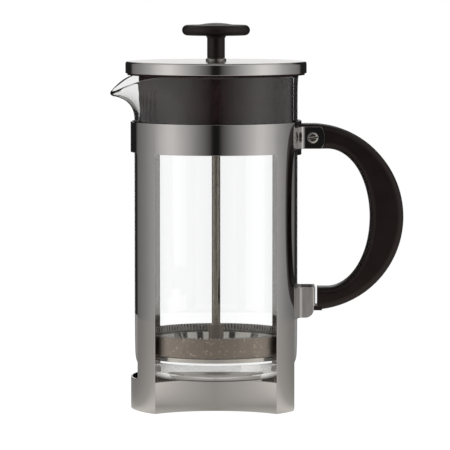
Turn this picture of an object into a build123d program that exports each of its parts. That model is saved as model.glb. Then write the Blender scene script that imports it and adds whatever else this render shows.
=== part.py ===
from build123d import *
import math
import os

# French press: a glass beaker in a bent sheet frame, with a lid and a plunger filter. Millimetres.
# The origin is on the beaker's axis at the table. +Z is up, the handle is at +X and the spout points to -X.

# Beaker
beaker_radius = 48.3
beaker_height = 178.5
glass_wall = 2.3
glass_floor = 3.0
glass_corner = 14.0
rim_flare = 0.6
rim_flare_height = 6.0
spout_wall = 2.1
spout_roundness = 0.75
spout_droop_start = 12.8
spout_droop_lead = 0.4
spout_droop_radius = 46.0
spout_tip_rounding = 4.2
# The loose beaker stands with its spout turned this far from the frame's -X side
spout_turn = 18.0
# Each spout section: distance out from the glass wall, half width, depth of its underside below the rim
spout_sections = (
    (-13.3, 32.2, 42.5),
    (-8.3, 27.2, 37.0),
    (-3.3, 22.0, 29.0),
    (0.7, 17.9, 22.0),
    (3.7, 14.9, 17.2),
    (6.7, 11.8, 14.3),
    (10.6, 8.2, 12.3),
    (13.8, 5.9, 11.7),
    (16.2, 5.0, 11.5),
)

# Frame sheet
sheet = 0.8
frame_gap = 1.4
base_height = 18.5
band_height = 17.9
band_drop = 27.3
window_half_angle = 44.6
leg_angle = 21.4
window_corner = 2.0
leg_foot_rounding = 2.0

# Clamp ears on the band, and their screw
ear_height = 13.1
ear_drop = 0.6
ear_reach = 13.8
ear_end_radius = 10.5
ear_bend = 3.0
screw_reach = 6.5
screw_radius = 2.0
screw_head_radius = 3.3
screw_head_height = 2.2
screw_head_rounding = 1.3
screw_slot_width = 0.9
screw_slot_depth = 1.0
screw_slot_turn = 9.0
screw_tail = 0.8
nut_flats = 7.0
nut_height = 3.2

# Lower bracket
bracket_bottom = 54.0
bracket_height = 18.0
bracket_width = 22.0
bracket_reach = 8.1
bracket_bend = 2.5
bracket_corner = 1.8
bracket_toe_rounding = 5.0
strip_height = 11.0

# Handle
handle_thickness = 17.0
handle_neck = 14.0
handle_rise = 8.2
handle_root_height = 14.8
handle_toe_height = 13.6
handle_setback = 5.3
handle_reach = 54.9
grip_depth = 19.6
grip_curve = 25.3
handle_edge_rounding = 4.0
toe_gap = 1.4
hook_foot = 2.6
hook_finger = 3.4
hook_height = 9.5
hook_width = 16.0
saddle_half_width = 17.6
saddle_height = 19.8
saddle_rounding = 4.0
saddle_lip = 0.8

# Lid
lid_overhang = 5.2
lid_height = 6.8
lid_sheet = 0.8
lid_gap = 1.2
lid_edge_rounding = 1.3
liner_wall = 2.0
liner_depth = 37.0
liner_flange = 2.2
liner_top = 2.2
liner_shoulder = 2.2
strainer_slots = 9
strainer_slot_width = 2.2
strainer_slot_height = 18.0
strainer_slot_pitch = 5.5
strainer_drop = 8.0

# Ferrule in the lid
ferrule_flange_radius = 6.05
ferrule_flange_height = 1.7
ferrule_rounding = 0.55
ferrule_sleeve_radius = 4.0
ferrule_sleeve_length = 8.6
lid_nut_flats = 12.0
lid_nut_height = 3.6

# Knob
knob_radius = 20.05
knob_disc = 6.2
knob_dome = 1.2
knob_dome_radius = 10.5
knob_stem_radius = 5.25
knob_stem_height = 13.4
knob_neck_rounding = 2.0
insert_radius = 3.6
insert_length = 14.0

# Rod and hub
rod_radius = 2.5
stud_radius = 2.0
rod_socket = 12.0
hub_flats = 7.7
hub_height = 14.6
hub_rod_depth = 8.0
hub_edge_rounding = 0.6

# Filter
filter_lift = 11.9
cup_wall = 0.35
cup_height = 11.6
cup_corner = 1.5
eyelet_radius = 7.0
eyelet_lip = 0.3
plate_sheet = 0.8
gutter_margin = 1.05
pan_depth = 5.8
pan_slope = 3.2
pan_holes = 8
pan_hole_radius = 6.0
pan_hole_ring = 23.0
cross_margin = 2.0
cross_rim = 1.6
cross_holes = 8
cross_hole_radius = 8.0
cross_hole_ring = 27.5
plate_nut_flats = 10.0
plate_nut_height = 3.8

# Coil spring in the gutter of the spring plate
spring_turns = 80
spring_wire = 0.7
spring_coil_radius = 2.2
spring_end_gap = 0.5

# Clearances
glass_gap = 0.3
filter_gap = 0.5
liner_gap = 0.4
seat_gap = 0.05
running_gap = 0.05
flat_gap = 0.1
recess_gap = 0.3

# Heights and radii that follow
beaker_inner = beaker_radius - glass_wall
rim_z = base_height + beaker_height
floor_z = base_height + glass_floor
frame_inner = beaker_radius + frame_gap
frame_outer = frame_inner + sheet
band_top = rim_z - band_drop
band_bottom = band_top - band_height
side_half_angle = 90.0 - window_half_angle - leg_angle
crease_x = frame_outer * math.sin(math.radians(window_half_angle))
crease_y = frame_outer * math.cos(math.radians(window_half_angle))
clamp_x = frame_outer + screw_reach
clamp_z = (band_top + band_bottom) / 2 - ear_drop
ear_end = frame_outer + ear_reach
ear_bottom = clamp_z - ear_height / 2
ear_top = clamp_z + ear_height / 2
neck_half = handle_neck / 2
bracket_end = frame_outer + bracket_reach
bracket_top = bracket_bottom + bracket_height
strip_bottom = bracket_top - strip_height
handle_top = clamp_z + handle_rise
handle_bottom = strip_bottom - recess_gap - hook_foot
lid_bottom = rim_z + lid_gap
lid_top = lid_bottom + lid_height
lid_radius = beaker_radius + lid_overhang
liner_radius = beaker_inner - liner_gap
liner_roof = lid_top - lid_sheet - flat_gap
ferrule_top = lid_top + ferrule_flange_height
knob_bottom = ferrule_top + flat_gap
knob_underside = knob_bottom + knob_stem_height
rod_top = knob_bottom + rod_socket
cup_bottom = floor_z + filter_lift
cup_radius = beaker_inner - filter_gap
eyelet_top = cup_bottom + cup_wall + eyelet_lip
eyelet_bottom = cup_bottom - eyelet_lip
pan_bottom = eyelet_top + seat_gap
hub_bottom = pan_bottom + plate_sheet + seat_gap
hub_top = hub_bottom + hub_height
gutter_z = pan_bottom + pan_depth
cross_top = eyelet_bottom - seat_gap
cross_bottom = cross_top - plate_sheet
cross_radius = cup_radius - cross_margin
plate_nut_bottom = cross_bottom - plate_nut_height - seat_gap
stud_bottom = plate_nut_bottom - flat_gap
spring_radius = cup_radius - cup_wall - glass_gap - spring_wire / 2 - spring_coil_radius
spring_z = gutter_z + plate_sheet + seat_gap + spring_wire / 2 + spring_coil_radius
gutter_inner = spring_radius - spring_coil_radius - spring_wire / 2 - gutter_margin
pan_radius = gutter_inner - pan_slope


def arc_about(center, start, end):
    """The shorter arc from start to end round a centre, in the plan or a profile."""
    center, start, end = Vector(*center), Vector(*start), Vector(*end)
    outward = (start - center) + (end - center)
    middle = center + outward.normalized() * (start - center).length
    return ThreePointArc(start, middle, end)


def outlined(*edges):
    """A flat face inside a closed run of edges."""
    return make_face([edge for part in edges for edge in part.edges()])


def on_ring(radius, degrees):
    """A plan point on a circle round the beaker's axis."""
    return radius * math.cos(math.radians(degrees)), radius * math.sin(math.radians(degrees))


def turned(*edges):
    """A solid turned round the beaker's axis from the edges of its half section."""
    return revolve(Plane.XZ * outlined(*edges), Axis.Z)


def turned_polygon(*points):
    """A turned solid whose half section has straight sides."""
    return turned(Polyline(*points, close=True))


def disc(radius, bottom, top):
    return Pos(0, 0, bottom) * extrude(Circle(radius), top - bottom)


def tube(outer, inner, bottom, top):
    return Pos(0, 0, bottom) * extrude(Circle(outer) - Circle(inner), top - bottom)


def hexagon(flats, bore, bottom, top):
    corner = flats / 2 / math.cos(math.radians(30))
    return Pos(0, 0, bottom) * extrude(RegularPolygon(corner, 6) - Circle(bore), top - bottom)


def cross_bar(radius, half_length, x, z):
    """A round bar along Y through a point of the side view."""
    return Pos(x, 0, z) * Rot(90, 0, 0) * Cylinder(radius, 2 * half_length)


def ear_zone(reach):
    """The space at the handle's root that ends at x in an arc round the middle of the ears' round end."""
    center_x = ear_end - ear_end_radius
    block = Box(2 * reach, 2 * frame_outer, 2 * reach)
    return cross_bar(reach, frame_outer, center_x, clamp_z) + Pos(center_x - reach, 0, clamp_z) * block


def glass_cup(radius, bottom, top, corner):
    return turned(
        Line((0, bottom), (radius - corner, bottom)),
        arc_about((radius - corner, bottom + corner), (radius - corner, bottom), (radius, bottom + corner)),
        Line((radius, bottom + corner), (radius, top)),
        Line((radius, top), (0, top)),
        Line((0, top), (0, bottom)),
    )


def spout_section(reach, half_width, bottom, top):
    """An upright U across the spout, closed along its top."""
    shoulder = bottom + spout_roundness * half_width
    return Plane(origin=(-reach, 0, 0), x_dir=(0, 1, 0), z_dir=(1, 0, 0)) * outlined(
        ThreePointArc((-half_width, shoulder), (0, bottom), (half_width, shoulder)),
        Line((half_width, shoulder), (half_width, top)),
        Line((half_width, top), (-half_width, top)),
        Line((-half_width, top), (-half_width, shoulder)),
    )


def make_beaker():
    outer_stations = [(beaker_radius + out, half, rim_z - depth) for out, half, depth in spout_sections]
    inner_stations = []
    last = len(outer_stations) - 1
    for index, (reach, half, bottom) in enumerate(outer_stations):
        before = outer_stations[max(index - 1, 0)]
        after = outer_stations[min(index + 1, last)]
        side_run = Vector(after[0] - before[0], after[1] - before[1]).normalized()
        floor_run = Vector(after[0] - before[0], after[2] - before[2]).normalized()
        inner_half = half - spout_wall / side_run.X
        inner_stations.append((reach - spout_wall * floor_run.Y, inner_half, bottom + spout_wall * floor_run.X))
    tip_reach, tip_half, tip_floor = inner_stations[-1]
    inner_stations.append((tip_reach + 2 * spout_wall, tip_half, tip_floor))

    spout = loft([spout_section(*station, rim_z) for station in outer_stations])
    tip_edges = spout.faces().sort_by(Axis.X)[0].edges().sort_by(Axis.Y)
    spout = fillet([tip_edges[0], tip_edges[-1]], spout_tip_rounding)
    channel = loft([spout_section(*station, rim_z + glass_wall) for station in inner_stations])

    flare = turned(
        Line((beaker_inner, rim_z - rim_flare_height), (beaker_radius, rim_z - rim_flare_height)),
        ThreePointArc(
            (beaker_radius, rim_z - rim_flare_height),
            (beaker_radius + rim_flare / 4, rim_z - rim_flare_height / 2),
            (beaker_radius + rim_flare, rim_z),
        ),
        Line((beaker_radius + rim_flare, rim_z), (beaker_inner, rim_z)),
        Line((beaker_inner, rim_z), (beaker_inner, rim_z - rim_flare_height)),
    )
    body = glass_cup(beaker_radius, base_height, rim_z, glass_corner) + flare + spout
    body -= glass_cup(beaker_inner, floor_z, rim_z + glass_wall, glass_corner - glass_wall)
    body -= channel

    # The lip droops to the tip along a quarter circle that starts a little above the rim
    droop_start = Vector(spout_droop_start - beaker_radius, rim_z + spout_droop_lead)
    droop_center = droop_start - Vector(0, spout_droop_radius)
    droop_end = droop_center - Vector(spout_droop_radius, 0)
    corner = Vector(droop_end.X, droop_start.Y)
    above_lip = outlined(arc_about(droop_center, droop_start, droop_end), Polyline(droop_end, corner, droop_start))
    body -= extrude(Plane.XZ * above_lip, beaker_radius, both=True)
    return Rot(0, 0, spout_turn) * body


def make_frame_shell():
    # The base is the ring with its front and rear arcs folded inwards about the line between two creases
    outside = Circle(frame_outer)
    inside = Circle(frame_inner)
    for side in (-1, 1):
        fold_center = Pos(0, side * 2 * crease_y)
        outside -= fold_center * Circle(frame_outer)
        inside -= fold_center * Circle(frame_outer + sheet)
    shell = extrude(outside - inside, base_height) + tube(frame_outer, frame_inner, base_height, band_top)

    window_height = band_bottom - base_height
    window_middle = (band_bottom + base_height) / 2
    front = Rectangle(2 * crease_x, window_height)
    front = fillet(front.vertices().group_by(Axis.Y)[-1], window_corner)
    shell -= extrude(Plane.XZ * Pos(0, window_middle) * front, 2 * frame_outer, both=True)

    side_width = 2 * frame_outer * math.sin(math.radians(side_half_angle))
    side = Plane.YZ * Pos(0, window_middle) * RectangleRounded(side_width, window_height, window_corner)
    shell -= extrude(side, -2 * frame_outer)

    opening = Polyline(
        (0, 0),
        on_ring(2 * frame_outer, -side_half_angle),
        on_ring(2 * frame_outer, side_half_angle),
        close=True,
    )
    shell -= extrude(outlined(opening), band_top)
    feet = [
        edge
        for edge in shell.edges()
        if abs(edge.center().Z) < sheet / 10 and edge.length < 1.5 * sheet and edge.center().X > 0
    ]
    shell = fillet(feet, leg_foot_rounding)

    ear = extrude(outlined(*cheek_outline(neck_half, ear_end, ear_bend)), ear_height)
    ear = Pos(0, 0, ear_bottom) * ear & ear_zone(ear_end_radius)
    shell += ear
    shell += mirror(ear, Plane.XZ)
    return shell - cross_bar(screw_radius + seat_gap, frame_outer, clamp_x, clamp_z)


def bend_points(half_gap, bend):
    """Where a strip of the ring turns outwards: the bend's centre, and its ends on both faces."""
    outer_y = half_gap + sheet
    center_y = outer_y + bend
    center_x = math.sqrt((frame_outer + bend) ** 2 - center_y**2)
    center = Vector(center_x, -center_y)
    ring_outer = center * (frame_outer / center.length)
    ring_inner = center * (frame_inner / center.length)
    return center, ring_outer, ring_inner, Vector(center_x, -outer_y), Vector(center_x, -half_gap)


def cheek_outline(half_gap, end_x, bend):
    """Plan edges of a strip that follows the ring from a leg and turns outwards into a flat cheek."""
    center, ring_outer, ring_inner, cheek_outer, cheek_inner = bend_points(half_gap, bend)
    start_outer = on_ring(frame_outer, -side_half_angle)
    start_inner = on_ring(frame_inner, -side_half_angle)
    return [
        arc_about((0, 0), start_outer, ring_outer),
        arc_about(center, ring_outer, cheek_outer),
        Polyline(cheek_outer, (end_x, cheek_outer.Y), (end_x, cheek_inner.Y), cheek_inner),
        arc_about(center, cheek_inner, ring_inner),
        arc_about((0, 0), ring_inner, start_inner),
        Line(start_inner, start_outer),
    ]


def make_lower_bracket():
    half_gap = bracket_width / 2 - sheet
    cheek = outlined(*cheek_outline(half_gap, bracket_end, bracket_bend))
    strip = Pos(bracket_end - sheet / 2, -bracket_width / 4) * Rectangle(sheet, bracket_width / 2)
    half = cheek + strip
    outer_corner = half.vertices().sort_by_distance(Vector(bracket_end, -bracket_width / 2))[0]
    half = fillet(outer_corner, bracket_corner)
    inner_corner = half.vertices().sort_by_distance(Vector(bracket_end - sheet, -half_gap))[0]
    half = fillet(inner_corner, bracket_corner - sheet)
    strap = extrude(half, bracket_height)
    strap = Pos(0, 0, bracket_bottom) * (strap + mirror(strap, Plane.XZ))

    # Below the strip the cheeks end short and their lower corner is round
    cheek_end = bracket_end - sheet - flat_gap
    round_center = (cheek_end - bracket_toe_rounding, bracket_bottom + bracket_toe_rounding)
    side_view = outlined(
        Polyline(
            (cheek_end, bracket_bottom + bracket_toe_rounding),
            (cheek_end, strip_bottom),
            (bracket_end + sheet, strip_bottom),
            (bracket_end + sheet, bracket_top),
            (0, bracket_top),
            (0, bracket_bottom),
            (cheek_end - bracket_toe_rounding, bracket_bottom),
        ),
        arc_about(
            round_center,
            (cheek_end - bracket_toe_rounding, bracket_bottom),
            (cheek_end, bracket_bottom + bracket_toe_rounding),
        ),
    )
    return strap & extrude(Plane.XZ * side_view, frame_outer, both=True)


def make_handle():
    root_x = frame_inner - saddle_lip / 2
    center_x = frame_outer + handle_setback
    center_z = (handle_top + handle_bottom) / 2
    half_height = (handle_top - handle_bottom) / 2
    toe_x = bracket_end + toe_gap
    toe_angle = math.degrees(math.acos((toe_x - center_x) / handle_reach))
    toe_z = center_z - half_height * math.sin(math.radians(toe_angle))
    inner_top = handle_top - handle_root_height
    inner_bottom = handle_bottom + handle_toe_height
    inner_x = center_x + handle_reach - grip_depth - grip_curve
    inner_z = (inner_top + inner_bottom) / 2
    side_view = outlined(
        Line((root_x, handle_top), (center_x, handle_top)),
        EllipticalCenterArc(
            (center_x, center_z), handle_reach, half_height, -toe_angle, arc_size=90 + toe_angle
        ),
        Polyline((toe_x, toe_z), (toe_x, inner_bottom), (inner_x, inner_bottom)),
        EllipticalCenterArc(
            (inner_x, inner_z), grip_curve, (inner_top - inner_bottom) / 2, -90, arc_size=180
        ),
        Polyline((inner_x, inner_top), (root_x, inner_top), (root_x, handle_top)),
    )
    body = extrude(Plane.XZ * side_view, handle_thickness / 2, both=True)
    long_edges = body.faces().filter_by(Axis.Y).edges() - body.edges().filter_by(Axis.Z)
    body = fillet(long_edges, handle_edge_rounding)

    # Flat recesses for the clamp ears leave the neck between them
    neck = Box(2 * handle_reach + 2 * ear_end, 2 * neck_half, 2 * handle_top)
    body -= ear_zone(ear_end_radius + recess_gap) - neck

    # The saddle lies between the glass and the ears, with a lip above and below them
    saddle = RectangleRounded(2 * saddle_half_width, saddle_height, saddle_rounding)
    saddle = extrude(Plane.YZ * Pos(0, clamp_z) * saddle, 2 * frame_outer)
    saddle &= tube(frame_inner + saddle_lip, beaker_radius + glass_gap, 0, rim_z)
    ear_band = tube(2 * frame_outer, frame_inner - seat_gap, ear_bottom - recess_gap, ear_top + recess_gap)
    saddle -= ear_band - neck

    # The toe hooks under the bracket's strip and up behind it
    finger_right = bracket_end - sheet - recess_gap
    finger_left = finger_right - hook_finger
    hook = Polyline(
        (toe_x + hook_foot, handle_bottom),
        (finger_left, handle_bottom),
        (finger_left, handle_bottom + hook_height),
        (finger_right, handle_bottom + hook_height),
        (finger_right, handle_bottom + hook_foot),
        (toe_x + hook_foot, handle_bottom + hook_foot),
        close=True,
    )
    hook = extrude(Plane.XZ * outlined(hook), hook_width / 2, both=True)
    body = body + saddle + hook
    return body - cross_bar(screw_radius + seat_gap, handle_thickness, clamp_x, clamp_z)


def make_handle_screw():
    head_seat = neck_half + sheet
    tail = head_seat + nut_height + screw_tail
    head = disc(screw_head_radius, 0, screw_head_height)
    head = fillet(head.edges().sort_by(Axis.Z)[-1], screw_head_rounding)
    slot = Box(2 * screw_head_radius, screw_slot_width, 2 * screw_slot_depth)
    head -= Pos(0, 0, screw_head_height) * Rot(0, 0, screw_slot_turn) * slot
    shank = disc(screw_radius, -head_seat - tail, 0)
    return Pos(clamp_x, -head_seat, clamp_z) * Rot(90, 0, 0) * (head + shank)


def make_handle_nut():
    nut = hexagon(nut_flats, screw_radius + seat_gap, 0, nut_height)
    return Pos(clamp_x, neck_half + sheet, clamp_z) * Rot(-90, 0, 0) * nut


def make_lid_cover():
    cap = disc(lid_radius, lid_bottom, lid_top)
    cap = fillet(cap.edges().group_by(Axis.Z)[-1], lid_edge_rounding)
    hollow = disc(lid_radius - lid_sheet, lid_bottom, lid_top - lid_sheet)
    hollow = fillet(hollow.edges().group_by(Axis.Z)[-1], lid_edge_rounding - lid_sheet)
    return cap - hollow - disc(ferrule_sleeve_radius + seat_gap, lid_bottom, lid_top)


def make_lid_liner():
    flange_bottom = rim_z + flat_gap
    flange_radius = lid_radius - lid_sheet - recess_gap
    shoulder_radius = liner_radius + liner_shoulder
    skirt_bottom = rim_z - liner_depth
    hole = ferrule_sleeve_radius + seat_gap
    collar = turned_polygon(
        (hole, liner_roof),
        (hole, liner_roof - liner_top),
        (liner_radius - liner_wall, liner_roof - liner_top),
        (liner_radius - liner_wall, skirt_bottom),
        (liner_radius, skirt_bottom),
        (liner_radius, flange_bottom),
        (flange_radius, flange_bottom),
        (flange_radius, flange_bottom + liner_flange),
        (shoulder_radius, flange_bottom + liner_flange),
        (shoulder_radius, liner_roof),
    )
    slot_z = rim_z - strainer_drop - strainer_slot_height / 2
    for index in range(strainer_slots):
        turn = 180 + spout_turn + (index - (strainer_slots - 1) / 2) * strainer_slot_pitch
        slot = Box(3 * liner_wall, strainer_slot_width, strainer_slot_height)
        collar -= Rot(0, 0, turn) * Pos(liner_radius - liner_wall / 2, 0, slot_z) * slot
    return collar


def make_lid_ferrule():
    flange = tube(ferrule_flange_radius, rod_radius + running_gap, lid_top, ferrule_top)
    top_edges = flange.edges().group_by(Axis.Z)[-1].sort_by(SortBy.LENGTH)
    flange = fillet(top_edges[-1], ferrule_rounding)
    sleeve_bottom = lid_top - ferrule_sleeve_length
    return flange + tube(ferrule_sleeve_radius, rod_radius + running_gap, sleeve_bottom, lid_top)


def make_lid_nut():
    top = liner_roof - liner_top
    return hexagon(lid_nut_flats, ferrule_sleeve_radius + seat_gap, top - lid_nut_height, top)


def make_knob():
    top = knob_underside + knob_disc
    edge = knob_disc / 2
    neck = knob_stem_radius + knob_neck_rounding
    dome_height = top + knob_dome
    socket = insert_radius + seat_gap
    socket_top = knob_bottom + insert_length + seat_gap
    dome_radius = (knob_dome_radius**2 + knob_dome**2) / (2 * knob_dome)
    return turned(
        Line((socket, knob_bottom), (knob_stem_radius, knob_bottom)),
        Line((knob_stem_radius, knob_bottom), (knob_stem_radius, knob_underside - knob_neck_rounding)),
        arc_about(
            (neck, knob_underside - knob_neck_rounding),
            (knob_stem_radius, knob_underside - knob_neck_rounding),
            (neck, knob_underside),
        ),
        Line((neck, knob_underside), (knob_radius - edge, knob_underside)),
        ThreePointArc(
            (knob_radius - edge, knob_underside),
            (knob_radius, top - edge),
            (knob_radius - edge, top),
        ),
        Line((knob_radius - edge, top), (knob_dome_radius, top)),
        arc_about((0, dome_height - dome_radius), (knob_dome_radius, top), (0, dome_height)),
        Line((0, dome_height), (0, socket_top)),
        Line((0, socket_top), (socket, socket_top)),
        Line((socket, socket_top), (socket, knob_bottom)),
    )


def make_knob_insert():
    insert = disc(insert_radius, knob_bottom, knob_bottom + insert_length)
    return insert - disc(rod_radius + seat_gap, knob_bottom, rod_top + seat_gap)


def make_plunger_rod():
    shoulder = hub_top - hub_rod_depth
    return turned_polygon(
        (0, stud_bottom),
        (stud_radius, stud_bottom),
        (stud_radius, shoulder),
        (rod_radius, shoulder),
        (rod_radius, rod_top),
        (0, rod_top),
    )


def make_rod_hub():
    hub = hexagon(hub_flats, stud_radius + seat_gap, hub_bottom, hub_top)
    hub -= disc(rod_radius + seat_gap, hub_top - hub_rod_depth - seat_gap, hub_top)
    # The top corners are turned off to a shallow cone
    corner = hub_flats / 2 / math.cos(math.radians(30))
    crown = turned_polygon(
        (0, hub_bottom),
        (corner, hub_bottom),
        (corner, hub_top - hub_edge_rounding),
        (corner - 2 * hub_edge_rounding, hub_top),
        (0, hub_top),
    )
    return hub & crown


def pierced(plate, hole_ring, count, radius):
    """A plate with a ring of round holes right through it."""
    for place in PolarLocations(hole_ring, count):
        plate -= place * Cylinder(radius, 2 * rim_z)
    return plate


def make_spring_plate():
    gutter_radius = cup_radius - cup_wall - glass_gap
    hole = stud_radius + seat_gap
    plate = turned_polygon(
        (hole, pan_bottom),
        (pan_radius, pan_bottom),
        (gutter_inner, gutter_z),
        (gutter_radius, gutter_z),
        (gutter_radius, gutter_z + plate_sheet),
        (gutter_inner - plate_sheet, gutter_z + plate_sheet),
        (pan_radius - plate_sheet, pan_bottom + plate_sheet),
        (hole, pan_bottom + plate_sheet),
    )
    return pierced(plate, pan_hole_ring, pan_holes, pan_hole_radius)


def make_mesh_screen():
    return turned(
        Line((stud_radius + seat_gap + eyelet_lip, cup_bottom), (cup_radius - cup_corner, cup_bottom)),
        arc_about(
            (cup_radius - cup_corner, cup_bottom + cup_corner),
            (cup_radius - cup_corner, cup_bottom),
            (cup_radius, cup_bottom + cup_corner),
        ),
        Polyline(
            (cup_radius, cup_bottom + cup_corner),
            (cup_radius, cup_bottom + cup_height),
            (cup_radius - cup_wall, cup_bottom + cup_height),
            (cup_radius - cup_wall, cup_bottom + cup_corner),
        ),
        arc_about(
            (cup_radius - cup_corner, cup_bottom + cup_corner),
            (cup_radius - cup_wall, cup_bottom + cup_corner),
            (cup_radius - cup_corner, cup_bottom + cup_wall),
        ),
        Polyline(
            (cup_radius - cup_corner, cup_bottom + cup_wall),
            (stud_radius + seat_gap + eyelet_lip, cup_bottom + cup_wall),
            (stud_radius + seat_gap + eyelet_lip, cup_bottom),
        ),
    )


def make_screen_eyelet():
    ring = tube(eyelet_radius, stud_radius + seat_gap, eyelet_bottom, eyelet_top)
    groove = tube(eyelet_radius, stud_radius + seat_gap + eyelet_lip, cup_bottom, cup_bottom + cup_wall)
    return ring - groove


def make_cross_plate():
    hole = stud_radius + seat_gap
    plate = turned_polygon(
        (hole, cross_top),
        (cross_radius, cross_top),
        (cross_radius, cross_bottom - cross_rim),
        (cross_radius - plate_sheet, cross_bottom - cross_rim),
        (cross_radius - plate_sheet, cross_bottom),
        (hole, cross_bottom),
    )
    return pierced(plate, cross_hole_ring, cross_holes, cross_hole_radius)


def make_plate_nut():
    top = plate_nut_bottom + plate_nut_height
    return hexagon(plate_nut_flats, stud_radius + seat_gap, plate_nut_bottom, top)


def spring_point(turn):
    """A point of the spring's centre line and its direction there, after so many turns."""
    sweep_angle = 2 * math.pi * turn / (spring_turns + spring_end_gap)
    coil_angle = math.pi + 2 * math.pi * turn
    outward = Vector(math.cos(sweep_angle), math.sin(sweep_angle), 0)
    along = Vector(-math.sin(sweep_angle), math.cos(sweep_angle), 0)
    upward = Vector(0, 0, 1)
    radius = spring_radius + spring_coil_radius * math.cos(coil_angle)
    point = outward * radius + upward * (spring_z + spring_coil_radius * math.sin(coil_angle))
    coil_rate = spring_coil_radius * 2 * math.pi
    sweep_rate = radius * 2 * math.pi / (spring_turns + spring_end_gap)
    around = upward * math.cos(coil_angle) - outward * math.sin(coil_angle)
    return point, (around * coil_rate + along * sweep_rate).normalized()


def biarc(start, start_way, end, end_way):
    """Two arcs from one point and direction to another."""
    gap = end - start
    ways = start_way + end_way
    spread = 2 * (1 - start_way.dot(end_way))
    reach = (-gap.dot(ways) + math.sqrt(gap.dot(ways) ** 2 + spread * gap.dot(gap))) / spread
    first = start + start_way * reach
    second = end - end_way * reach
    middle = (first + second) / 2
    return [
        TangentArc(start, middle, tangent=start_way),
        TangentArc(middle, end, tangent=second - first),
    ]


def spring_least_gap():
    """The least gap between turns, measured on points half a turn apart or more."""
    steps = 16
    points = [spring_point(index / steps)[0] for index in range(spring_turns * steps + 1)]
    least = min(
        (points[first] - points[second]).length
        for first in range(len(points))
        for second in list(range(first + steps // 2, min(first + 2 * steps, len(points))))
    )
    ends = (points[0] - points[-1]).length
    return min(least, ends) - spring_wire


def make_coil_spring():
    halves = [spring_point(index / 2) for index in range(2 * spring_turns + 1)]
    first, first_way = halves[0]
    final, final_way = halves[-1]
    path = [Line(first - first_way * spring_wire, first)]
    for (start, start_way), (end, end_way) in zip(halves, halves[1:]):
        path += biarc(start, start_way, end, end_way)
    path.append(Line(final, final + final_way * spring_wire))
    section = Plane(origin=first - first_way * spring_wire, z_dir=first_way) * Circle(spring_wire / 2)
    print(f"coil spring: least gap to itself {spring_least_gap():.2f} mm")
    return sweep(section, path=Wire(path))


makers = {
    "frame_shell": make_frame_shell,
    "lower_bracket": make_lower_bracket,
    "handle": make_handle,
    "handle_screw": make_handle_screw,
    "handle_nut": make_handle_nut,
    "beaker": make_beaker,
    "lid_cover": make_lid_cover,
    "lid_liner": make_lid_liner,
    "lid_ferrule": make_lid_ferrule,
    "lid_nut": make_lid_nut,
    "knob": make_knob,
    "knob_insert": make_knob_insert,
    "plunger_rod": make_plunger_rod,
    "rod_hub": make_rod_hub,
    "spring_plate": make_spring_plate,
    "coil_spring": make_coil_spring,
    "mesh_screen": make_mesh_screen,
    "screen_eyelet": make_screen_eyelet,
    "cross_plate": make_cross_plate,
    "plate_nut": make_plate_nut,
}

os.makedirs("parts", exist_ok=True)
for name, maker in makers.items():
    export_step(maker(), f"parts/{name}.step")
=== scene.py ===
import math

import bpy
from bpy.props import FloatProperty, FloatVectorProperty, IntProperty, PointerProperty
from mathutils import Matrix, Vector


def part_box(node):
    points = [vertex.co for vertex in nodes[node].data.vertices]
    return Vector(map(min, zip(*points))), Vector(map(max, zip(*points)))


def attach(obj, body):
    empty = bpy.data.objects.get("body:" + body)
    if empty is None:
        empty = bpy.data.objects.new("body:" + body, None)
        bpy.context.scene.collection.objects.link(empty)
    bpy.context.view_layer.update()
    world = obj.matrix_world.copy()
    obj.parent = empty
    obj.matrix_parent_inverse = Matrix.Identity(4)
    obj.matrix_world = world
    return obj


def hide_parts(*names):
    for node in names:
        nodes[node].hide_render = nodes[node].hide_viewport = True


bl_info = {
    "name": "French Press",
    "version": (1, 0, 0),
    "blender": (4, 5, 0),
    "location": "View3D > Sidebar > French Press",
    "description": "Dresses a french press in polished sheet, glass, moulded plastic and woven wire",
    "category": "Object",
}

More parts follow.
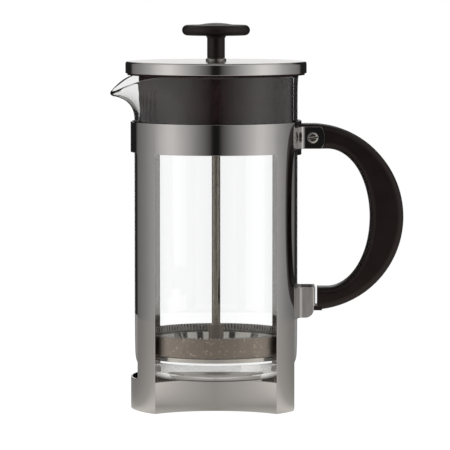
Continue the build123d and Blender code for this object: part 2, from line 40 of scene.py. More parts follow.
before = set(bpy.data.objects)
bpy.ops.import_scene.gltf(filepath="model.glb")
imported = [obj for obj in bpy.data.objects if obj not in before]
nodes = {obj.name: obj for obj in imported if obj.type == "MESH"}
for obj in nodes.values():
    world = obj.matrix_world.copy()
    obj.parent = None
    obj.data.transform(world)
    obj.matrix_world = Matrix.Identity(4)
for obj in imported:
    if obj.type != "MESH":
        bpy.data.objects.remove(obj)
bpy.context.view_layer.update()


class PressFinishes(bpy.types.PropertyGroup):
    """Colours and polish of the pieces"""

    sheet_color: FloatVectorProperty(
        name="Sheet",
        description="Colour that the polished frame reflects",
        subtype="COLOR",
        default=(0.5, 0.48, 0.468),
        min=0,
        max=1,
    )
    lid_color: FloatVectorProperty(
        name="Lid",
        description="Colour that the polished lid reflects",
        subtype="COLOR",
        default=(0.6, 0.58, 0.565),
        min=0,
        max=1,
    )
    sheet_roughness: FloatProperty(
        name="Sheet haze",
        description="How much the polished sheet blurs what it reflects",
        subtype="FACTOR",
        default=0.06,
        min=0,
        max=1,
    )
    steel_color: FloatVectorProperty(
        name="Steel",
        description="Colour of the plates and fasteners",
        subtype="COLOR",
        default=(0.5, 0.475, 0.44),
        min=0,
        max=1,
    )
    rod_color: FloatVectorProperty(
        name="Rod",
        description="Colour of the plunger's drawn rod",
        subtype="COLOR",
        default=(0.41, 0.37, 0.32),
        min=0,
        max=1,
    )
    hub_color: FloatVectorProperty(
        name="Hub",
        description="Colour of the turned hub at the rod's foot",
        subtype="COLOR",
        default=(0.52, 0.42, 0.36),
        min=0,
        max=1,
    )
    spring_color: FloatVectorProperty(
        name="Spring wire",
        description="Colour of the coil round the filter",
        subtype="COLOR",
        default=(0.96, 0.93, 0.89),
        min=0,
        max=1,
    )
    mesh_color: FloatVectorProperty(
        name="Woven wire",
        description="Colour of the filter's fine wire mesh",
        subtype="COLOR",
        default=(0.35, 0.282, 0.229),
        min=0,
        max=1,
    )
    brass_color: FloatVectorProperty(
        name="Brass",
        description="Colour of the threaded insert in the knob",
        subtype="COLOR",
        default=(0.72, 0.53, 0.26),
        min=0,
        max=1,
    )
    plastic_color: FloatVectorProperty(
        name="Black plastic",
        description="Colour of the handle and the knob",
        subtype="COLOR",
        default=(0.0085, 0.0058, 0.0052),
        min=0,
        max=1,
    )
    collar_color: FloatVectorProperty(
        name="Collar plastic",
        description="Colour of the lid's dark collar",
        subtype="COLOR",
        default=(0.028, 0.016, 0.016),
        min=0,
        max=1,
    )
    glass_tint: FloatVectorProperty(
        name="Glass",
        description="Tint of the beaker's glass",
        subtype="COLOR",
        default=(0.996, 1.0, 0.998),
        min=0,
        max=1,
    )
    glass_shine: FloatProperty(
        name="Glass shine",
        description="Share of plain glass's reflection that the beaker shows",
        subtype="FACTOR",
        default=0.8,
        min=0,
        max=1,
    )


class PressBeaker(bpy.types.PropertyGroup):
    """Sizes of the blown glass"""

    wall: FloatProperty(
        name="Wall",
        description="Thickness of the glass",
        subtype="DISTANCE",
        default=0.0023,
        min=0.0005,
    )
    corner: FloatProperty(
        name="Corner",
        description="Radius of the round corner between the wall and the floor",
        subtype="DISTANCE",
        default=0.014,
        min=0.001,
    )
    rim_flare: FloatProperty(
        name="Rim flare",
        description="How far the rim stands out from the wall",
        subtype="DISTANCE",
        default=0.0006,
        min=0,
    )
    lip_rounding: FloatProperty(
        name="Lip rounding",
        description="Width of the fire-polished edges of the rim",
        subtype="DISTANCE",
        default=0.0007,
        min=0.0001,
    )
    spout_turn: FloatProperty(
        name="Spout turn",
        description="How far the loose beaker is turned in its frame",
        subtype="ANGLE",
        default=math.radians(18),
    )
    spout_reach: FloatProperty(
        name="Spout reach",
        description="How far the spout is pulled out of the rim",
        subtype="DISTANCE",
        default=0.016,
        min=0,
    )
    spout_drop: FloatProperty(
        name="Spout drop",
        description="How far the tip of the spout is pressed down",
        subtype="DISTANCE",
        default=0.0105,
        min=0,
    )
    spout_nose: FloatProperty(
        name="Spout nose",
        description="Radius of the glass that is gripped to pull the spout",
        subtype="DISTANCE",
        default=0.005,
        min=0,
    )
    spout_spread: FloatProperty(
        name="Spout spread",
        description="How far along the rim the pulled glass reaches",
        subtype="DISTANCE",
        default=0.039,
        min=0.001,
    )
    drop_spread: FloatProperty(
        name="Drop spread",
        description="How far along the rim the pressed glass reaches",
        subtype="DISTANCE",
        default=0.037,
        min=0.001,
    )


class PressFilter(bpy.types.PropertyGroup):
    """Sizes of the filter's wires"""

    spring_turns: IntProperty(
        name="Spring turns",
        description="Turns of wire in the coil round the filter",
        default=130,
        min=20,
        max=300,
    )
    spring_wire: FloatProperty(
        name="Spring wire",
        description="Thickness of the spring's wire",
        subtype="DISTANCE",
        default=0.0008,
        min=0.0001,
    )
    weave_pitch: FloatProperty(
        name="Weave pitch",
        description="Distance between the wires of the mesh",
        subtype="DISTANCE",
        default=0.0006,
        min=0.0001,
    )


class PressStudio(bpy.types.PropertyGroup):
    """Camera, table and light"""

    camera_place: FloatVectorProperty(
        name="Camera",
        description="Where the camera stands",
        subtype="XYZ",
        unit="LENGTH",
        default=(0.0053, -2.05, 0.2658),
    )
    camera_tilt: FloatProperty(
        name="Camera tilt",
        description="How far the camera looks down",
        subtype="ANGLE",
        default=math.radians(4.4),
    )
    lens: FloatProperty(
        name="Lens",
        description="Focal length of the camera in millimetres",
        subtype="DISTANCE_CAMERA",
        default=277.8,
        min=1,
    )
    floor_radius: FloatProperty(
        name="Floor",
        description="Radius of the round pale table",
        subtype="DISTANCE",
        default=0.55,
        min=0.1,
    )
    overhead: FloatProperty(
        name="Overhead light",
        description="Brightness of the light above the object",
        default=0.6,
        min=0,
    )
    zenith_share: FloatProperty(
        name="Zenith share",
        description="Share of the overhead light that is left straight above the object",
        subtype="FACTOR",
        default=0.2,
        min=0,
        max=1,
    )


# Brightness of the studio round the object, by degrees from the camera's side to the back
studio_ring = (
    (0, 0.015),
    (4, 0.02),
    (9, 0.12),
    (24, 0.36),
    (47, 0.78),
    (59, 1.0),
    (67, 1.0),
    (79, 0.83),
    (93, 0.55),
    (110, 0.37),
    (130, 0.23),
    (138, 0.02),
    (174, 0.02),
    (176, 1.0),
)

# Brightness of the table as the object reflects it, by the same degrees
table_ring = (
    (0, 0.45),
    (30, 0.62),
    (64, 0.9),
    (74, 0.78),
    (86, 0.5),
    (115, 0.29),
    (142, 0.2),
)

# Values between which most of a noise pattern lies
noise_low = 0.3
noise_high = 0.7

# How strongly the glass bends light
glass_index = 1.47

# Tint of the highlights on the black plastic
warm_gloss = (1, 0.82, 0.79, 1)

# Colours of the table and the light
white = (1, 1, 1)
warm_white = (1, 0.98, 0.93)


def plug(tree, socket, value):
    """Gives a socket a link or a fixed value."""
    if isinstance(value, bpy.types.NodeSocket):
        tree.links.new(value, socket)
    else:
        socket.default_value = value


def add_node(tree, kind, inputs=None, **settings):
    """Adds a node, with its inputs by name and its settings."""
    node = tree.nodes.new(kind)
    for name, value in settings.items():
        setattr(node, name, value)
    for name, value in (inputs or {}).items():
        plug(tree, node.inputs[name], value)
    return node


def calculate(tree, operation, *values):
    """Adds one step of arithmetic."""
    node = add_node(tree, "ShaderNodeMath", operation=operation)
    for socket, value in zip(node.inputs, values):
        plug(tree, socket, value)
    return node.outputs["Value"]


def spread(tree, value, low, high, from_low, from_high):
    """Carries a value from one range to another."""
    inputs = {
        "Value": value,
        "From Min": from_low,
        "From Max": from_high,
        "To Min": low,
        "To Max": high,
    }
    return add_node(tree, "ShaderNodeMapRange", inputs).outputs["Result"]


def noise(tree, scale, detail, stretch=(1, 1, 1)):
    """Noise on the piece's own coordinates, by waves to the metre and their share along each axis."""
    coordinates = add_node(tree, "ShaderNodeTexCoord").outputs["Object"]
    mapping = add_node(tree, "ShaderNodeMapping", {"Vector": coordinates, "Scale": stretch})
    inputs = {"Vector": mapping.outputs["Vector"], "Scale": scale, "Detail": detail}
    return add_node(tree, "ShaderNodeTexNoise", inputs).outputs["Fac"]


def shades(tree, factor, dark, light):
    """A colour between two shades."""
    ramp = add_node(tree, "ShaderNodeValToRGB", {"Fac": factor})
    ramp.color_ramp.elements[0].color = (*dark, 1)
    ramp.color_ramp.elements[1].color = (*light, 1)
    return ramp.outputs["Color"]


def dimmed(color, share):
    """A colour times a share."""
    return tuple(share * channel for channel in color)


def toned(tree, pattern, color, darkest, lightest):
    """A colour that a pattern carries from its darkest share to its lightest."""
    return shades(tree, pattern, dimmed(color, darkest), dimmed(color, lightest))


def varied(tree, pattern, value, share):
    """A value that a noise pattern lowers and raises by a share of itself."""
    return spread(tree, pattern, (1 - share) * value, (1 + share) * value, noise_low, noise_high)


def facing_up(tree):
    """1 on a face that points up, 0 on an upright face and -1 on one that points down."""
    normal = add_node(tree, "ShaderNodeNewGeometry").outputs["True Normal"]
    return add_node(tree, "ShaderNodeSeparateXYZ", {"Vector": normal}).outputs["Z"]


def ring_light(tree, direction, stops):
    """A brightness by degrees from the camera's side, alike to the left and to the right."""
    part = add_node(tree, "ShaderNodeSeparateXYZ", {"Vector": direction}).outputs
    angle = calculate(tree, "ARCTAN2", part["X"], calculate(tree, "MULTIPLY", part["Y"], -1.0))
    share = calculate(tree, "DIVIDE", calculate(tree, "ABSOLUTE", angle), math.pi)
    ramp = add_node(tree, "ShaderNodeValToRGB", {"Fac": share})
    marks = ramp.color_ramp.elements
    while len(marks) < len(stops):
        marks.new(1.0)
    for mark, (degrees, brightness) in zip(marks, stops):
        mark.position = degrees / 180
        mark.color = (brightness, brightness, brightness, 1)
    return ramp.outputs["Color"]


def plainly_seen(tree):
    """1 for what is seen directly or straight through clear glass, 0 for what is mirrored."""
    path = add_node(tree, "ShaderNodeLightPath").outputs
    unmirrored = calculate(tree, "LESS_THAN", path["Glossy Depth"], 1.0)
    through_glass = calculate(tree, "MULTIPLY", path["Is Transmission Ray"], unmirrored)
    return calculate(tree, "MAXIMUM", path["Is Camera Ray"], through_glass)


def new_finish(name):
    """A new material, its node tree and its shader."""
    material = bpy.data.materials.new(name)
    material.use_nodes = True
    return material, material.node_tree, material.node_tree.nodes["Principled BSDF"]


def add_bump(tree, shader, height, depth, edge=None):
    """Raises the surface by a height pattern, and rounds its edges over a width."""
    inputs = {"Height": height, "Distance": depth, "Strength": 1.0}
    if edge:
        rounded = add_node(tree, "ShaderNodeBevel", {"Radius": edge}, samples=6)
        inputs["Normal"] = rounded.outputs["Normal"]
    plug(tree, shader.inputs["Normal"], add_node(tree, "ShaderNodeBump", inputs).outputs["Normal"])


def polished_sheet(name, color, roughness, top_roughness=0.0):
    """Mirror-polished sheet with a faint haze and a slight ripple.

    A face that points up can be rougher than the others.
    """
    material, tree, shader = new_finish(name)
    shader.inputs["Metallic"].default_value = 1
    haze = noise(tree, scale=60, detail=4)
    plug(tree, shader.inputs["Base Color"], toned(tree, haze, color, darkest=0.94, lightest=1.05))
    rough = varied(tree, haze, roughness, share=0.4)
    if top_roughness:
        up = facing_up(tree)
        top = spread(tree, up, low=0.0, high=top_roughness, from_low=0.9, from_high=0.99)
        rough = calculate(tree, "MAXIMUM", rough, top)
    plug(tree, shader.inputs["Roughness"], rough)
    ripple = noise(tree, scale=22, detail=1)
    add_bump(tree, shader, ripple, depth=0.00004, edge=0.0005)
    return material


def drawn_steel(name, color, roughness, along):
    """Steel with fine lines from drawing or turning, along one axis."""
    material, tree, shader = new_finish(name)
    shader.inputs["Metallic"].default_value = 1
    waves_along, waves_across = 0.04, 1.0
    stretch = tuple(waves_along if axis == along else waves_across for axis in "XYZ")
    lines = noise(tree, scale=2600, detail=3, stretch=stretch)
    plug(tree, shader.inputs["Base Color"], toned(tree, lines, color, darkest=0.9, lightest=1.08))
    plug(tree, shader.inputs["Roughness"], varied(tree, lines, roughness, share=0.3))
    add_bump(tree, shader, lines, depth=0.000003, edge=0.0002)
    return material


def moulded_plastic(name, color, roughness, gloss, grain):
    """Black moulded plastic with a fine grain of a given depth."""
    material, tree, shader = new_finish(name)
    shader.inputs["Specular IOR Level"].default_value = gloss
    shader.inputs["Specular Tint"].default_value = warm_gloss
    mottle = noise(tree, scale=90, detail=4)
    plug(tree, shader.inputs["Base Color"], toned(tree, mottle, color, darkest=0.8, lightest=1.25))
    plug(tree, shader.inputs["Roughness"], varied(tree, mottle, roughness, share=0.12))
    pores = noise(tree, scale=1500, detail=2)
    add_bump(tree, shader, pores, depth=grain, edge=0.0004)
    return material


def clear_glass(name, tint, shine):
    """Clear blown glass with a faint film on it."""
    material, tree, shader = new_finish(name)
    shader.inputs["Base Color"].default_value = (*tint, 1)
    shader.inputs["Specular Tint"].default_value = (shine, shine, shine, 1)
    shader.inputs["Transmission Weight"].default_value = 1
    shader.inputs["IOR"].default_value = glass_index
    film = noise(tree, scale=35, detail=3)
    rough = spread(tree, film, low=0.0, high=0.012, from_low=0.45, from_high=0.75)
    plug(tree, shader.inputs["Roughness"], rough)
    return material


def woven_wire(name, color, pitch, radius):
    """Fine plain weave that runs round a cup's wall and straight across its floor, with painted
    glints in its colour.
    """
    material, tree, shader = new_finish(name)
    shader.inputs["Metallic"].default_value = 1
    coordinates = add_node(tree, "ShaderNodeTexCoord").outputs["Object"]
    place = add_node(tree, "ShaderNodeSeparateXYZ", {"Vector": coordinates}).outputs
    floor_slope = 0.7
    slope = calculate(tree, "ABSOLUTE", facing_up(tree))
    on_floor = calculate(tree, "GREATER_THAN", slope, floor_slope)
    on_wall = calculate(tree, "SUBTRACT", 1.0, on_floor)
    turn = calculate(tree, "ARCTAN2", place["Y"], place["X"])
    around = calculate(tree, "MULTIPLY", turn, radius)
    across = calculate(
        tree, "ADD",
        calculate(tree, "MULTIPLY", around, on_wall),
        calculate(tree, "MULTIPLY", place["X"], on_floor),
    )
    up = calculate(
        tree, "ADD",
        calculate(tree, "MULTIPLY", place["Z"], on_wall),
        calculate(tree, "MULTIPLY", place["Y"], on_floor),
    )
    waves = math.pi / pitch
    warp = calculate(tree, "SINE", calculate(tree, "MULTIPLY", across, waves))
    weft = calculate(tree, "SINE", calculate(tree, "MULTIPLY", up, waves))
    crossing = calculate(tree, "MULTIPLY", warp, weft)
    weave = spread(tree, crossing, low=0.0, high=1.0, from_low=-1.0, from_high=1.0)
    tarnish = noise(tree, scale=420, detail=4)
    tarnish_depth = 0.8
    height = calculate(tree, "ADD", weave, calculate(tree, "MULTIPLY", tarnish, tarnish_depth))
    wires = spread(tree, height, low=0.0, high=0.5, from_low=0.2, from_high=1.5)
    # Painted glints: bright specks of painted highlight, added to the weave's colour
    painted_glint_noise = noise(tree, scale=520, detail=2, stretch=(1, 1, 1.6))
    painted_glints = spread(tree, painted_glint_noise, low=0.0, high=0.5, from_low=0.6, from_high=0.68)
    tone = calculate(tree, "ADD", wires, painted_glints)
    plug(tree, shader.inputs["Base Color"], toned(tree, tone, color, darkest=0.5, lightest=2.2))
    rough = spread(tree, tarnish, low=0.38, high=0.6, from_low=noise_low, from_high=noise_high)
    plug(tree, shader.inputs["Roughness"], rough)
    add_bump(tree, shader, height, depth=0.00012)
    return material


def dress(material, *names):
    """Puts a finish on CAD nodes."""
    for name in names:
        nodes[name].material_slots[0].material = material


def take_up(piece):
    """Makes a piece the only one selected."""
    bpy.ops.object.select_all(action="DESELECT")
    piece.select_set(True)
    bpy.context.view_layer.objects.active = piece


def place_in_mesh(piece):
    """Moves a piece's place, turn and scale into its mesh."""
    take_up(piece)
    bpy.ops.object.transform_apply(location=True, rotation=True, scale=True)


def apply_modifier(piece, name, kind, **settings):
    """Adds a modifier with its settings and applies it."""
    modifier = piece.modifiers.new(name, kind)
    for key, value in settings.items():
        setattr(modifier, key, value)
    take_up(piece)
    bpy.ops.object.modifier_apply(modifier=name)


def weld(piece, distance):
    """Merges the points that meet and turns the faces outwards."""
    take_up(piece)
    bpy.ops.object.mode_set(mode="EDIT")
    bpy.ops.mesh.select_all(action="SELECT")
    bpy.ops.mesh.remove_doubles(threshold=distance)
    bpy.ops.mesh.normals_make_consistent(inside=False)
    bpy.ops.object.mode_set(mode="OBJECT")


def stretch_upright(piece, share, level):
    """Scales a piece along Z about a level."""
    take_up(piece)
    bpy.ops.object.mode_set(mode="EDIT")
    bpy.ops.mesh.select_all(action="SELECT")
    bpy.ops.transform.resize(value=(1, 1, share), center_override=(0, 0, level))
    bpy.ops.object.mode_set(mode="OBJECT")


def pull(piece, grip, width, move, reach):
    """Moves the points within a width of a grip and draws their surroundings after them."""
    take_up(piece)
    bpy.ops.object.mode_set(mode="EDIT")
    bpy.ops.mesh.select_mode(type="VERT")
    bpy.ops.mesh.select_all(action="DESELECT")
    bpy.ops.object.mode_set(mode="OBJECT")
    middle = Vector(grip)
    for vertex in piece.data.vertices:
        vertex.select = (vertex.co - middle).length < width
    bpy.ops.object.mode_set(mode="EDIT")
    bpy.ops.transform.translate(
        value=move,
        use_proportional_edit=True,
        proportional_edit_falloff="SHARP",
        proportional_size=reach,
    )
    bpy.ops.object.mode_set(mode="OBJECT")


def hand_over(piece, body, material, replaced):
    """Gives a finished piece its finish, its body and the CAD node that it stands for."""
    piece.data.materials.clear()
    piece.data.materials.append(material)
    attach(piece, body)
    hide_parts(replaced)


class PRESS_OT_frame(bpy.types.Operator):
    """Finishes the bent frame sheet and the lower bracket"""

    bl_idname = "press.frame"
    bl_label = "Frame Sheet"

    def execute(self, context):
        finishes = context.scene.press_finishes
        color = finishes.sheet_color
        sheet = polished_sheet("polished_frame_sheet", color, finishes.sheet_roughness)
        dress(sheet, "frame_shell")
        satin = drawn_steel("satin_bracket_steel", color, roughness=0.4, along="Z")
        dress(satin, "lower_bracket")
        return {"FINISHED"}


class PRESS_OT_handle(bpy.types.Operator):
    """Finishes the moulded handle"""

    bl_idname = "press.handle"
    bl_label = "Handle"

    def execute(self, context):
        finishes = context.scene.press_finishes
        plastic = moulded_plastic(
            "matt_handle_plastic",
            finishes.plastic_color,
            roughness=0.36,
            gloss=0.34,
            grain=0.000012,
        )
        dress(plastic, "handle")
        return {"FINISHED"}


class PRESS_OT_fasteners(bpy.types.Operator):
    """Finishes the clamp screw, its nut, and the lid's ferrule and nut"""

    bl_idname = "press.fasteners"
    bl_label = "Fasteners"

    def execute(self, context):
        finishes = context.scene.press_finishes
        bright = polished_sheet("bright_plated_steel", finishes.steel_color, roughness=0.14)
        dress(bright, "handle_screw", "handle_nut")
        dark_color = dimmed(finishes.steel_color, share=0.5)
        dark = polished_sheet("dark_plated_steel", dark_color, roughness=0.07)
        dress(dark, "lid_ferrule", "lid_nut")
        return {"FINISHED"}


class PRESS_OT_beaker(bpy.types.Operator):
    """Raises the glass beaker, pulls its spout and rounds its lip"""

    bl_idname = "press.beaker"
    bl_label = "Beaker"

    def execute(self, context):
        finishes = context.scene.press_finishes
        sizes = context.scene.press_beaker
        low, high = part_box("beaker")
        glass = self.raise_wall(low.z, high.z, high.y, sizes)
        weld(glass, distance=sizes.wall / 100)
        self.pull_spout(glass, high.y, high.z, sizes)
        glass.rotation_euler.z = sizes.spout_turn
        place_in_mesh(glass)
        apply_modifier(
            glass,
            "Wall",
            "SOLIDIFY",
            thickness=sizes.wall,
            offset=-1,
            use_even_offset=True,
        )
        apply_modifier(
            glass,
            "Lip",
            "BEVEL",
            width=sizes.lip_rounding,
            segments=2,
            limit_method="ANGLE",
            angle_limit=math.radians(50),
        )
        apply_modifier(glass, "Smooth", "SUBSURF", levels=2, render_levels=2)
        bpy.ops.object.shade_smooth()
        material = clear_glass("clear_beaker_glass", finishes.glass_tint, finishes.glass_shine)
        hand_over(glass, "beaker", material, "beaker")
        return {"FINISHED"}

    def wall_rings(self, bottom, rim, rim_radius, sizes):
        """Radius and height of each ring from the corner to the rim, close together at the spout."""
        corner_degrees = (18, 36, 54, 72, 90)
        wall_shares = (0.33, 0.67, 1.0)
        rim_rows = 16
        flare_power = 8
        root_share = 0.8

        radius = rim_radius - sizes.rim_flare
        flat = radius - sizes.corner
        corner_top = bottom + sizes.corner
        spout_root = rim - root_share * sizes.spout_spread
        rings = []
        for degrees in corner_degrees:
            turn = math.radians(degrees)
            ring_radius = flat + sizes.corner * math.sin(turn)
            rings.append((ring_radius, corner_top - sizes.corner * math.cos(turn)))
        for share in wall_shares:
            rings.append((radius, corner_top + share * (spout_root - corner_top)))
        for row in range(1, rim_rows + 1):
            share = row / rim_rows
            flare = sizes.rim_flare * share ** flare_power
            rings.append((radius + flare, spout_root + share * (rim - spout_root)))
        return rings

    def raise_wall(self, bottom, rim, rim_radius, sizes):
        """Extrudes the round floor ring by ring up the corner and the wall to the flared rim."""
        rings = self.wall_rings(bottom, rim, rim_radius, sizes)
        floor_radius = rim_radius - sizes.rim_flare - sizes.corner
        bpy.ops.object.select_all(action="DESELECT")
        bpy.ops.mesh.primitive_circle_add(
            vertices=72,
            radius=floor_radius,
            fill_type="TRIFAN",
            location=(0, 0, bottom),
            rotation=(0, 0, 0),
        )
        glass = bpy.context.object
        glass.name = "blown_beaker"
        place_in_mesh(glass)
        bpy.ops.object.mode_set(mode="EDIT")
        bpy.ops.mesh.select_mode(type="EDGE")
        bpy.ops.mesh.select_all(action="DESELECT")
        bpy.ops.mesh.select_non_manifold()
        last_radius, last_height = floor_radius, bottom
        for ring_radius, height in rings:
            rise = (0, 0, height - last_height)
            bpy.ops.mesh.extrude_region_move(TRANSFORM_OT_translate={"value": rise})
            share = ring_radius / last_radius
            bpy.ops.transform.resize(value=(share, share, 1), center_override=(0, 0, height))
            last_radius, last_height = ring_radius, height
        bpy.ops.object.mode_set(mode="OBJECT")
        return glass

    def pull_spout(self, glass, rim_radius, rim, sizes):
        """Pulls the rim out at -X and presses its tip down.

        The glass is longer during each pull, so that the wall follows less than the rim does.
        """
        pull_share, press_share = 1.5, 1.1
        grip = (-rim_radius, 0, rim)
        tip = (-rim_radius - sizes.spout_reach, 0, rim)
        outwards = (-sizes.spout_reach, 0, 0)
        down = (0, 0, -press_share * sizes.spout_drop)
        stretch_upright(glass, pull_share, rim)
        pull(glass, grip, sizes.spout_nose, outwards, sizes.spout_spread)
        stretch_upright(glass, press_share / pull_share, rim)
        pull(glass, tip, sizes.spout_nose, down, sizes.drop_spread)
        stretch_upright(glass, 1 / press_share, rim)


class PRESS_OT_lid(bpy.types.Operator):
    """Finishes the lid's sheet cover and its moulded collar"""

    bl_idname = "press.lid"
    bl_label = "Lid"

    def execute(self, context):
        finishes = context.scene.press_finishes
        sheet = polished_sheet(
            "polished_lid_sheet",
            finishes.lid_color,
            finishes.sheet_roughness,
            top_roughness=0.18,
        )
        dress(sheet, "lid_cover")
        plastic = moulded_plastic(
            "satin_collar_plastic",
            finishes.collar_color,
            roughness=0.3,
            gloss=0.04,
            grain=0.000004,
        )
        dress(plastic, "lid_liner")
        return {"FINISHED"}


class PRESS_OT_knob(bpy.types.Operator):
    """Finishes the knob and its threaded insert"""

    bl_idname = "press.knob"
    bl_label = "Knob"

    def execute(self, context):
        finishes = context.scene.press_finishes
        plastic = moulded_plastic(
            "matt_knob_plastic",
            finishes.plastic_color,
            roughness=0.38,
            gloss=0.4,
            grain=0.000008,
        )
        dress(plastic, "knob")
        brass = drawn_steel("turned_brass", finishes.brass_color, roughness=0.3, along="Z")
        dress(brass, "knob_insert")
        return {"FINISHED"}


class PRESS_OT_rod(bpy.types.Operator):
    """Finishes the plunger's rod and hub"""

    bl_idname = "press.rod"
    bl_label = "Plunger Rod"

    def execute(self, context):
        finishes = context.scene.press_finishes
        drawn = drawn_steel("drawn_rod_steel", finishes.rod_color, roughness=0.24, along="Z")
        dress(drawn, "plunger_rod")
        turned = drawn_steel("turned_hub_steel", finishes.hub_color, roughness=0.4, along="Z")
        dress(turned, "rod_hub")
        return {"FINISHED"}


class PRESS_OT_filter(bpy.types.Operator):
    """Finishes the filter's plates and mesh and winds the coil spring"""

    bl_idname = "press.filter"
    bl_label = "Filter"

    def execute(self, context):
        finishes = context.scene.press_finishes
        sizes = context.scene.press_filter
        color = finishes.steel_color
        stamped = drawn_steel("stamped_plate_steel", color, roughness=0.07, along="X")
        dress(stamped, "spring_plate", "screen_eyelet", "cross_plate", "plate_nut")
        cup_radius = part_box("mesh_screen")[1].x
        woven = woven_wire("woven_filter_wire", finishes.mesh_color, sizes.weave_pitch, cup_radius)
        dress(woven, "mesh_screen")
        self.wind_spring(finishes, sizes)
        return {"FINISHED"}

    def wind_spring(self, finishes, sizes):
        """Winds a straight coil along X and bends it round into a closed ring."""
        low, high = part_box("coil_spring")
        coil_radius = (high.z - low.z - sizes.spring_wire) / 2
        ring_radius = (high.x - low.x) / 2 - coil_radius - sizes.spring_wire / 2
        length = 2 * math.pi * ring_radius
        turn_steps = 14
        bpy.ops.object.select_all(action="DESELECT")
        bpy.ops.mesh.primitive_circle_add(
            vertices=8,
            radius=sizes.spring_wire / 2,
            location=(0, 0, coil_radius),
            rotation=(0, 0, 0),
        )
        spring = bpy.context.object
        spring.name = "wound_spring"
        place_in_mesh(spring)
        apply_modifier(
            spring,
            "Wind",
            "SCREW",
            axis="X",
            angle=2 * math.pi,
            steps=turn_steps,
            render_steps=turn_steps,
            iterations=sizes.spring_turns,
            screw_offset=length / sizes.spring_turns,
            use_smooth_shade=True,
        )
        apply_modifier(
            spring,
            "Close",
            "SIMPLE_DEFORM",
            deform_method="BEND",
            deform_axis="Z",
            angle=2 * math.pi,
        )
        points = [vertex.co for vertex in spring.data.vertices]
        middle = Vector(
            (min(p[axis] for p in points) + max(p[axis] for p in points)) / 2 for axis in range(3)
        )
        spring.location = Vector((0, 0, (low.z + high.z) / 2)) - middle
        place_in_mesh(spring)
        weld(spring, distance=sizes.spring_wire / 20)
        wire = polished_sheet("drawn_spring_wire", finishes.spring_color, roughness=0.3)
        hand_over(spring, "plunger", wire, "coil_spring")


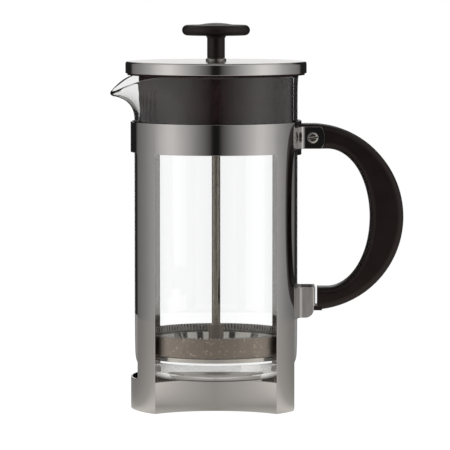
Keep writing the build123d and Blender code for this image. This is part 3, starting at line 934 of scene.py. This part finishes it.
class PRESS_OT_stage(bpy.types.Operator):
    """Sets up the table, the studio light and the camera"""

    bl_idname = "press.stage"
    bl_label = "Stage"

    def execute(self, context):
        studio = context.scene.press_studio
        self.lay_floor(studio)
        self.light_studio(context.scene, studio)
        self.stand_camera(context.scene, studio)
        context.scene.view_settings.view_transform = "Standard"
        return {"FINISHED"}

    def lay_floor(self, studio):
        """A round table, white in view and shaded by its ring in what the object reflects."""
        bpy.ops.object.select_all(action="DESELECT")
        bpy.ops.mesh.primitive_circle_add(
            vertices=128,
            radius=studio.floor_radius,
            fill_type="NGON",
        )
        floor = bpy.context.object
        floor.name = "pale_floor"
        material, tree, shader = new_finish("pale_table")
        speckle = noise(tree, scale=300, detail=2)
        pale = toned(tree, speckle, white, darkest=0.1, lightest=0.12)
        plug(tree, shader.inputs["Base Color"], pale)
        shader.inputs["Roughness"].default_value = 0.9
        seen = plainly_seen(tree)
        place = add_node(tree, "ShaderNodeTexCoord").outputs["Object"]
        plug(tree, shader.inputs["Emission Color"], shades(tree, seen, warm_white, white))
        glow = calculate(tree, "MAXIMUM", seen, ring_light(tree, place, table_ring))
        plug(tree, shader.inputs["Emission Strength"], glow)
        floor.data.materials.append(material)

    def light_studio(self, scene, studio):
        """Soft light left and right, a dark camera side and a narrow white strip behind.

        What is plainly seen of the studio is white.
        """
        world = bpy.data.worlds.new("soft_studio")
        world.use_nodes = True
        scene.world = world
        tree = world.node_tree
        tree.nodes.clear()
        direction = add_node(tree, "ShaderNodeTexCoord").outputs["Generated"]
        upward = add_node(tree, "ShaderNodeSeparateXYZ", {"Vector": direction}).outputs["Z"]
        height = spread(tree, upward, low=0.0, high=1.0, from_low=0.4, from_high=0.75)
        ring = ring_light(tree, direction, studio_ring)
        sides = add_node(tree, "ShaderNodeBackground", {"Color": ring})
        light = studio.overhead
        zenith = studio.zenith_share * light
        overhead = spread(tree, upward, low=light, high=zenith, from_low=0.84, from_high=0.96)
        inputs = {"Color": (*white, 1), "Strength": overhead}
        above = add_node(tree, "ShaderNodeBackground", inputs)
        room = add_node(tree, "ShaderNodeMixShader", {"Fac": height})
        tree.links.new(sides.outputs["Background"], room.inputs[1])
        tree.links.new(above.outputs["Background"], room.inputs[2])
        backdrop = add_node(tree, "ShaderNodeBackground", {"Color": (*white, 1)})
        view = add_node(tree, "ShaderNodeMixShader", {"Fac": plainly_seen(tree)})
        tree.links.new(room.outputs["Shader"], view.inputs[1])
        tree.links.new(backdrop.outputs["Background"], view.inputs[2])
        output = add_node(tree, "ShaderNodeOutputWorld")
        tree.links.new(view.outputs["Shader"], output.inputs["Surface"])

    def stand_camera(self, scene, studio):
        """A long lens from the photograph's side, looking a little down."""
        bpy.ops.object.select_all(action="DESELECT")
        bpy.ops.object.camera_add(
            location=studio.camera_place,
            rotation=(math.pi / 2 - studio.camera_tilt, 0, 0),
        )
        camera = bpy.context.object
        camera.data.sensor_width = 36
        camera.data.lens = studio.lens
        scene.camera = camera


class PRESS_PT_panel(bpy.types.Panel):
    """Lists the sizes, the colours and the operators"""

    bl_idname = "PRESS_PT_panel"
    bl_label = "French Press"
    bl_space_type = "VIEW_3D"
    bl_region_type = "UI"
    bl_category = "French Press"

    def draw(self, context):
        for group in ("press_finishes", "press_beaker", "press_filter", "press_studio"):
            owner = getattr(context.scene, group)
            column = self.layout.column(align=True)
            for name in owner.bl_rna.properties.keys():
                if name not in ("rna_type", "name"):
                    column.prop(owner, name)
        for operator in operators:
            self.layout.operator(operator.bl_idname)


groups = (PressFinishes, PressBeaker, PressFilter, PressStudio)
operators = (
    PRESS_OT_frame,
    PRESS_OT_handle,
    PRESS_OT_fasteners,
    PRESS_OT_beaker,
    PRESS_OT_lid,
    PRESS_OT_knob,
    PRESS_OT_rod,
    PRESS_OT_filter,
    PRESS_OT_stage,
)
classes = (*groups, *operators, PRESS_PT_panel)


def register():
    for each in classes:
        bpy.utils.register_class(each)
    bpy.types.Scene.press_finishes = PointerProperty(type=PressFinishes)
    bpy.types.Scene.press_beaker = PointerProperty(type=PressBeaker)
    bpy.types.Scene.press_filter = PointerProperty(type=PressFilter)
    bpy.types.Scene.press_studio = PointerProperty(type=PressStudio)


def unregister():
    del bpy.types.Scene.press_studio
    del bpy.types.Scene.press_filter
    del bpy.types.Scene.press_beaker
    del bpy.types.Scene.press_finishes
    for each in reversed(classes):
        bpy.utils.unregister_class(each)


def main():
    register()
    bpy.ops.press.frame()
    bpy.ops.press.handle()
    bpy.ops.press.fasteners()
    bpy.ops.press.beaker()
    bpy.ops.press.lid()
    bpy.ops.press.knob()
    bpy.ops.press.rod()
    bpy.ops.press.filter()
    bpy.ops.press.stage()


if __name__ == "__main__":
    main()
